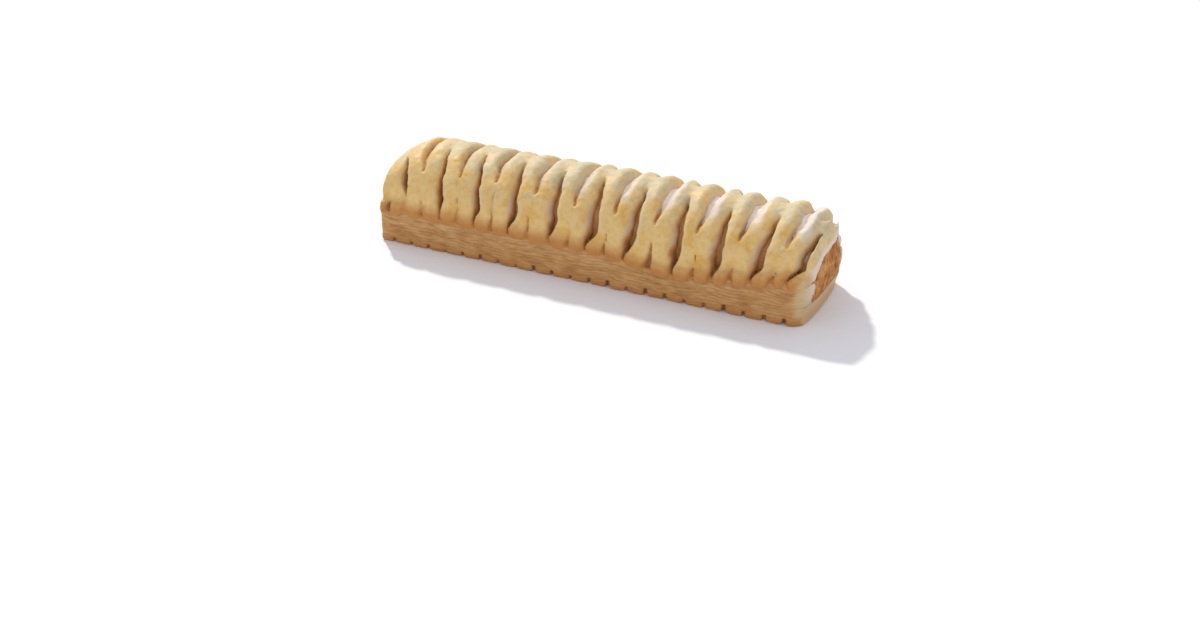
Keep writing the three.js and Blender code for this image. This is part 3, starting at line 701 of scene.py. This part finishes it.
# Where the slits and cracks come down to the seam, on the near side (-1) and the far side (1).
slit_feet, crack_feet = {}, {}
for side in (-1, 1):
    creeps = enumerate(SIDE_FOOT_CREEP[::-side])
    slit_feet[side] = [FIRST_SIDE_FOOT + i * FOOT_PITCH - side * creep for i, creep in creeps]
    creeps = enumerate(CRACK_CREEP[::-side])
    crack_feet[side] = [crest_places[i] * CRACK_FAN - side * creep for i, creep in creeps]


def boldness(x):
    """The toes stand out boldly right of the middle and at the left end, and lie nearly flush
    in between."""
    return 0.25 + 0.75 * swell(x, 5, 60) + 0.75 * (1 - swell(x, -91, -87))


def from_a_gap(x, side):
    """How far along the bar a place is from the nearest gap between two toes."""
    gaps = np.array(slit_feet[side] + crack_feet[side])
    return np.abs(x[..., None] - gaps).min(-1)


def foot_line(x, side):
    """The scalloped lower edge of the feet: each toe's corners are drawn up."""
    drawn = (0.5 + boldness(x)) * np.exp(-((from_a_gap(x, side) / 1.5) ** 2))
    return seam_height(x) + drawn + 0.4 * lumps(at(x, 0, side), 7, 51)


def both_sides(measure):
    """A measure along each side of the bar, as it is over the whole grid."""
    return np.where(ys < 0, measure(xs, -1)[:, None], measure(xs, 1)[:, None])[:, :, None]


def read_off(values, places):
    """The values of the grid at places between its points."""
    cells, shares = [], []
    for k, axis in enumerate((xs, ys, zs)):
        cell = np.clip(np.searchsorted(axis, places[:, k]) - 1, 0, len(axis) - 2)
        cells.append(cell)
        shares.append((places[:, k] - axis[cell]) / (axis[cell + 1] - axis[cell]))
    total = np.zeros(len(places))
    for corner in itertools.product((0, 1), repeat=3):
        weight = np.prod([s if c else 1 - s for c, s in zip(corner, shares)], axis=0)
        total += weight * values[tuple(cell + c for cell, c in zip(cells, corner))]
    return total


def side_middle(foot, top, bow):
    """A side slit runs up from a hook between the toes, and bows most a quarter of the way."""
    return lambda t: foot + (top - foot) * t + bow * swell(t, 0.06, 0.3) * (1 - t) / 0.73


def side_width(width):
    """A side slit is a crack at the toes, then wide, then narrows to its tip."""
    return lambda t: width * np.where(
        t < 0.29, 0.12 + 0.88 * swell(t, 0.02, 0.29), np.minimum((1 - t) / 0.71, 1) ** 0.45
    )


def side_rounding(width):
    """Its rims are crisp at the toes and towards the tip, and round in between."""
    full = RIB_ROUNDING * width
    return lambda t: full * (0.25 + 0.75 * swell(t, 0.03, 0.2) - 0.6 * swell(t, 0.4, 0.9))


def side_valley(width):
    """The ribs fall away to it from about a third of the way up."""
    return lambda t: VALLEY_SHARE * width * swell(t, 0.15, 0.5)


def crack_middle(foot, lean):
    """A crack is straight, and leans a little."""
    return lambda t: foot + lean * t


def crack_width(width):
    """It narrows to nothing at its top."""
    return lambda t: width * np.minimum(6 * t + 0.4, 1.2 * (1 - t))


def crack_rounding(t):
    """Its rims are roundest low down."""
    return 0.3 + 0.5 * np.minimum(4 * t, 1 - t)


def no_valley(t):
    """The ribs stay level beside a crack."""
    return 0 * t


def crest_middle(place):
    """A crest slit lies across the bar, and its ends draw in towards the bar's middle."""
    return lambda t: place * (1 - CREST_FAN * swell(np.abs(2 * t - 1), 0.4, 1))


def crest_width(width):
    """It has opened like an eye."""
    return lambda t: width * np.maximum(np.sin(math.pi * t), 0) ** 0.7


def crest_rounding(t):
    """Its rims are round all along, and crisper at its two ends."""
    return 0.3 + 1.5 * np.minimum(1.3 * np.sin(math.pi * t), 1)


def crest_valley(width):
    """The ribs fall away to it most at the crest."""
    return lambda t: VALLEY_SHARE * width * np.sin(math.pi * t) ** 0.5


# "from" and "to" are in degrees from the crest, below 0 on the near side.
slits = []
for side in (-1, 1):
    for i, foot in enumerate(slit_feet[side]):
        top = FIRST_SIDE_SLIT + i * COLUMN_PITCH + SIDE_TOP_CREEP[i]
        low = float(degrees_at(foot, seam_height(foot) + SLIT_FOOT_LIFT))
        slits.append(
            {
                "middle": side_middle(foot, top, -side * SIDE_SLIT_BOW[::-side][i]),
                "from": side * (FIRST_SLIT_LOW if (side, i) == (-1, 0) else low),
                "to": side * SIDE_SLIT_TIP[::-side][i],
                "width": side_width(SIDE_SLIT_WIDTH[i]),
                "rounding": side_rounding(SIDE_SLIT_WIDTH[i]),
                "valley": side_valley(SIDE_SLIT_WIDTH[i]),
                "slants": SIDE_SLANTS,
                "floor": THROUGH,
            }
        )
    for i, foot in enumerate(crack_feet[side]):
        slits.append(
            {
                "middle": crack_middle(foot, CRACK_LEAN * i - 1),
                "from": side * float(degrees_at(foot, seam_height(foot) - CRACK_FOOT_DROP)),
                "to": side * CRACK_TOP[::-side][i],
                "width": crack_width(CRACK_WIDTH[::-side][i]),
                "rounding": crack_rounding,
                "valley": no_valley,
                "slants": CRACK_SLANTS,
                "floor": CRACK_DEPTH,
            }
        )
for i, place in enumerate(crest_places):
    slits.append(
        {
            "middle": crest_middle(place),
            "from": -CREST_SLIT_END[i],
            "to": max(CREST_SLIT_END[i], FAR_CREST_END),
            "width": crest_width(CREST_SLIT_WIDTH[i]),
            "rounding": crest_rounding,
            "valley": crest_valley(CREST_SLIT_WIDTH[i]),
            "slants": CREST_SLANTS,
            "floor": THROUGH,
        }
    )

# A short crack sets the leaf that puffed out apart from the first toe.
slits.append(
    {
        "middle": crack_middle(PUFF_CRACK, 1),
        "from": PUFF_CRACK_ENDS[0],
        "to": PUFF_CRACK_ENDS[1],
        "width": lambda t: PUFF_CRACK_WIDTH * (1 - t) + 0.2,
        "rounding": lambda t: 0.4 + 0 * t,
        "valley": no_valley,
        "slants": CRACK_SLANTS,
        "floor": CRACK_DEPTH,
    }
)

# The outside: ribs that fall away to the slits, toes that stand out at their feet, and two
# lobes where the last strips puffed up at the right end.
line = both_sides(foot_line)
toe = swell(both_sides(from_a_gap), 0.1, 2.6)
bold = boldness(x)
ledge = z - line - TOE_HEIGHT - 1.2 * lumps(at(x, 9 * np.sign(y), 0), 8, 54)
knuckle = TOE_BULGE * bold * toe * (1 - swell(ledge, -0.6, 0.3))
waist = np.exp(-(((ledge - WAIST_RISE) / WAIST_REACH) ** 2))
knuckle = knuckle - TOE_WAIST * bold * waist
flush = FLUSH_DEPTH * (1 - bold) * (1 - swell(z - line, 0, 4))
bulge = knuckle - np.maximum(flush, 0)
fall = np.zeros(depth.shape)
for slit in slits:
    valley(fall, slit)
for place, rise, reach in END_LOBES:
    fall = fall - rise * np.exp(-(((x - place) / reach) ** 2)) * (1 - swell(degrees, 35, 65))
lid = round_meet(fall - depth - bulge, line - z, 0.4 + 0.25 * np.minimum(bold, 1))
past = past_the_cuts(x, y, z)
corner = END_ROUNDING + (CORNER_ROUNDING - END_ROUNDING) * (1 - swell(z, 15, 27))
corner = np.where(x < 0, LEFT_ROUNDING, corner)
lid = round_meet(lid, past, corner)
for slit in slits:
    cut_slit(lid, slit)

# The sealed edge under the feet, leafy outside, then the hollow for the filling, the leaf that
# puffed out, and the face that lies on the bottom sheet.
sealed = round_meet(past_the_sides(x, y, z), past, corner)
lid = np.minimum(lid, round_meet(sealed, z - line - 0.9, 0.5))
lid = np.maximum(lid, depth - lid_thickness(x, degrees))
puff = (x - PUFF[0]) ** 2 + (y - PUFF[1]) ** 2 + ((z - PUFF[2]) / PUFF_TALLNESS) ** 2
lid = round_join(lid, np.sqrt(puff) - PUFF_RADIUS, 0.5)
lid = np.maximum(lid, sheets_meet(x, y) - SHEET_OVERLAP * swell(np.abs(y), 20, 22) - z)
points, faces = skin(lid, xs, ys, zs)
normals = outward(points, faces)
px, py, pz = points.T
own_side = np.where(py < 0, -1, 1)
deep, turn = below_the_crust(px, py, pz)
own_depth = deep - read_off(fall - bulge, points)  # below the ribs' own surface

# The dough is bare from the rims of a slit down. At the crest the walls that face right, away
# from the lamp, are bared less and a little browner: painted shade on the side in shadow.
crest = 1 - swell(turn, 25, 50)
facing_right_shade = crest * swell(normals[:, 0], 0.2, 0.7)
bare = swell(own_depth, 0.1 + 1.3 * facing_right_shade, 1.9 + 1.2 * facing_right_shade)
bare = bare * (1 - 0.6 * facing_right_shade)

# How brown a wall is at its rim, from 0 for pale dough to 1 for the foot of a slit. It is
# browning and painted shade together: deeper, narrower and lower walls are painted darker.
CREST_WALL = 0.12
SIDE_WALL = 0.22
UPPER_WALL = 0.42  # high in a side slit
LEFT_WALL = 0.45  # in the left part of the bar, whose slits are narrow
TIP_WALL = 0.45  # at the ends of the crest slits
PALE_TIPS = 9  # but the ends of this crest slit, counted from 0, are paler
CRACK_WALL = 0.5
SIDE_PALE_RIM = 0.25  # pale rims, partly painted highlight, this much down the sides, against 1 at the crest

# Painted shade: below the crest a wall darkens with its depth under the ribs' own surface.
browned = (1 - crest) * (SIDE_WALL + (1 - SIDE_WALL) * swell(own_depth, 1.8, 5))
browned = np.maximum(browned, CREST_WALL * facing_right_shade)

# The left rims of the strips tore open at the crest, where the glaze doesn't cover them, and it
# lies thin on their rims down the sides. These rims face the lamp, so their paleness is partly
# painted highlight. High in the side slits the walls are browner at the rims, with less painted
# shade deeper in.
stretched = np.zeros(len(points))
ragged = 0.8 * lumps(points, 4, 55)
for slit in slits:
    if slit["floor"] == THROUGH and slit["from"] * slit["to"] > 0:
        along = (turn * own_side - slit["from"]) / (slit["to"] - slit["from"])
        t = np.clip(along, 0, 1)
        near = 1 - swell(np.abs(px - slit["middle"](t)), 3.5, 5)
        upper = near * swell(along, 0.4, 0.72) * (1 - swell(along, 1, 1.15))
        browned = browned + upper * (UPPER_WALL + 0.2 * swell(own_depth, 1, 3.2) - browned)
        off = px - slit["middle"](t) - slit["width"](t) / 2 - ragged / 2
        rim = swell(off, -0.5, 0.6) * (1 - swell(off, 1, 2.6)) * swell(along, 0.1, 0.4)
        stretched = np.maximum(stretched, SIDE_PALE_RIM * rim * (1 - swell(along, 0.85, 1.05)))
tips = np.zeros(len(points))
for i, place in enumerate(crest_places[:-1]):
    end = np.where(py < 0, CREST_SLIT_END[i], max(CREST_SLIT_END[i], FAR_CREST_END)) - 3
    near = ((px - place * (1 - CREST_FAN)) / 3) ** 2 + ((turn - end) / 11) ** 2
    tips = np.maximum(tips, np.exp(-(near**2)) * (1 - 0.7 * (i == PALE_TIPS)))
    off = px - place - CREST_SLIT_WIDTH[i] / 2 - ragged
    torn = swell(off, -2.5, -0.5) * (1 - swell(off, 1.2, 3.2)) * (0.2 + 0.8 * swell(i, 1, 7))
    stretched = np.maximum(stretched, torn * (1 - swell(turn + 3 * ragged, 28, 46)))
# Painted shade also darkens the narrow slits of the left part, the cracks and the crest slits'
# ends.
left_part = 1 - swell(px, -65, -35)
cracked = swell(turn, 62, 78)
left_wall = left_part * (LEFT_WALL + (1 - LEFT_WALL) * swell(own_depth, 1.5, 4))
crack_wall = cracked * (CRACK_WALL + (1 - CRACK_WALL) * swell(own_depth, 0.6, 2.4))
tip_wall = tips * (TIP_WALL + 0.4 * swell(own_depth, 0.5, 2.5))
for wall in (left_wall, crack_wall, tip_wall):
    browned = np.maximum(browned, wall)
bare = np.maximum(bare, tips * swell(own_depth, 0.3, 1.2))

# The knife's faces are bare dough below the crust, which is thicker down the upright sides.
# Round the right corners the leafy edge goes over into a smooth cream one.
past = past_the_cuts(px, py, pz)
upright = swell(turn, 55, 85)
cut = swell(past, -2.3, -0.6) * swell(np.abs(normals[:, 0]), 0.25, 0.6)
cut = cut * swell(deep, 0.3 + 1.7 * upright, 1.5 + 6.7 * upright)
wrapped = 0.8 * swell(past, -3.4, -1) * upright * (px > 0)

# Low swellings 9, 3.4 and 1.8 mm across on all that shows, less on the leafy edge.
above = pz - np.where(py < 0, foot_line(px, -1), foot_line(px, 1))
leafy = 1 - swell(above, -0.2, 0.5)
swelling = 0.32 * lumps(points, 9, 52) + 0.15 * lumps(points, 3.4, 53)
swelling = swelling + 0.1 * lumps(points, 1.8, 56)
shown = (normals[:, 2] > -0.8) * (1 - 0.6 * leafy) * (deep < lid_thickness(px, turn) - 0.4)
points += normals * (swelling * shown)[:, None]
baked_piece(
    "lattice_top",
    points,
    faces,
    glazed_crust,
    "pastry_lattice",
    "golden_pastry",
    leaf=leaf_count(px, pz, own_side),
    side=leafy,
    bare=bare,
    browned=browned,
    glazed=0.55 * turn / 90 + 0.14 * (1 - swell(px, -95, -50)),
    foot=1 - swell(above, 2.2, 9),
    stretched=0.72 * stretched,
    cut=cut,
    wrapped=wrapped,
)

# ---------------------------------------------------------------------------
# Studio: a plain pale table, a soft lamp high behind the left end, and pale walls that fill
# the shade. The camera looks down at the near side, from 25 degrees round to the right.
# ---------------------------------------------------------------------------

TABLE_PALE = "#f0eeec"
TABLE_REACH = 3  # in metres, as all sizes are here
WALL_PALE = "#f1f4ff"
WALL_STRENGTH = 0.84
LIGHT_WAY = Vector((0.8, -0.775, -1.0))
LAMP_STRENGTH = 2.3
LAMP_SPREAD = math.radians(3.5)
CAMERA_TURN = math.radians(25)
CAMERA_RISE = math.radians(26)
CAMERA_REACH = 0.719
LOOKED_AT = Vector((0.0029, 0, 0.00705))
LENS_LENGTH = 48.6
LENS_SHIFT = (-0.0125, -0.0567)

# Matt painted board: it takes a soft shadow and doesn't mirror the bar.
pale_table = new_finish("pale_table")
shader = add(pale_table, "BsdfPrincipled", Base_Color=linear(TABLE_PALE), Roughness=0.85)
add(pale_table, "OutputMaterial", Surface=shader.outputs[0])
table_mesh = bpy.data.meshes.new("table")
corners = [(TABLE_REACH * a, TABLE_REACH * b, 0) for a, b in ((-1, -1), (1, -1), (1, 1), (-1, 1))]
table_mesh.from_pydata(corners, [], [(0, 1, 2, 3)])
table_mesh.materials.append(pale_table)
table = bpy.data.objects.new("table", table_mesh)
bpy.context.scene.collection.objects.link(table)

walls = bpy.data.worlds.new("pale_walls")
walls.use_nodes = True
walls.node_tree.nodes["Background"].inputs["Color"].default_value = linear(WALL_PALE)
walls.node_tree.nodes["Background"].inputs["Strength"].default_value = WALL_STRENGTH
bpy.context.scene.world = walls

lamp_light = bpy.data.lights.new("lamp", "SUN")
lamp_light.energy = LAMP_STRENGTH
lamp_light.angle = LAMP_SPREAD
lamp = bpy.data.objects.new("lamp", lamp_light)
lamp.rotation_euler = LIGHT_WAY.to_track_quat("-Z", "Y").to_euler()
bpy.context.scene.collection.objects.link(lamp)

level = math.cos(CAMERA_RISE)
back = Vector(
    (math.sin(CAMERA_TURN) * level, -math.cos(CAMERA_TURN) * level, math.sin(CAMERA_RISE))
)
across = Vector((math.cos(CAMERA_TURN), math.sin(CAMERA_TURN), 0))
upward = back.cross(across)
lens = bpy.data.cameras.new("camera")
lens.lens = LENS_LENGTH
lens.shift_x, lens.shift_y = LENS_SHIFT
camera = bpy.data.objects.new("camera", lens)
aim = Matrix((across, upward, back)).transposed().to_4x4()
camera.matrix_world = Matrix.Translation(LOOKED_AT + CAMERA_REACH * back) @ aim
bpy.context.scene.collection.objects.link(camera)
bpy.context.scene.camera = camera
bpy.context.scene.view_settings.view_transform = "Standard"

bpy.context.view_layer.update()
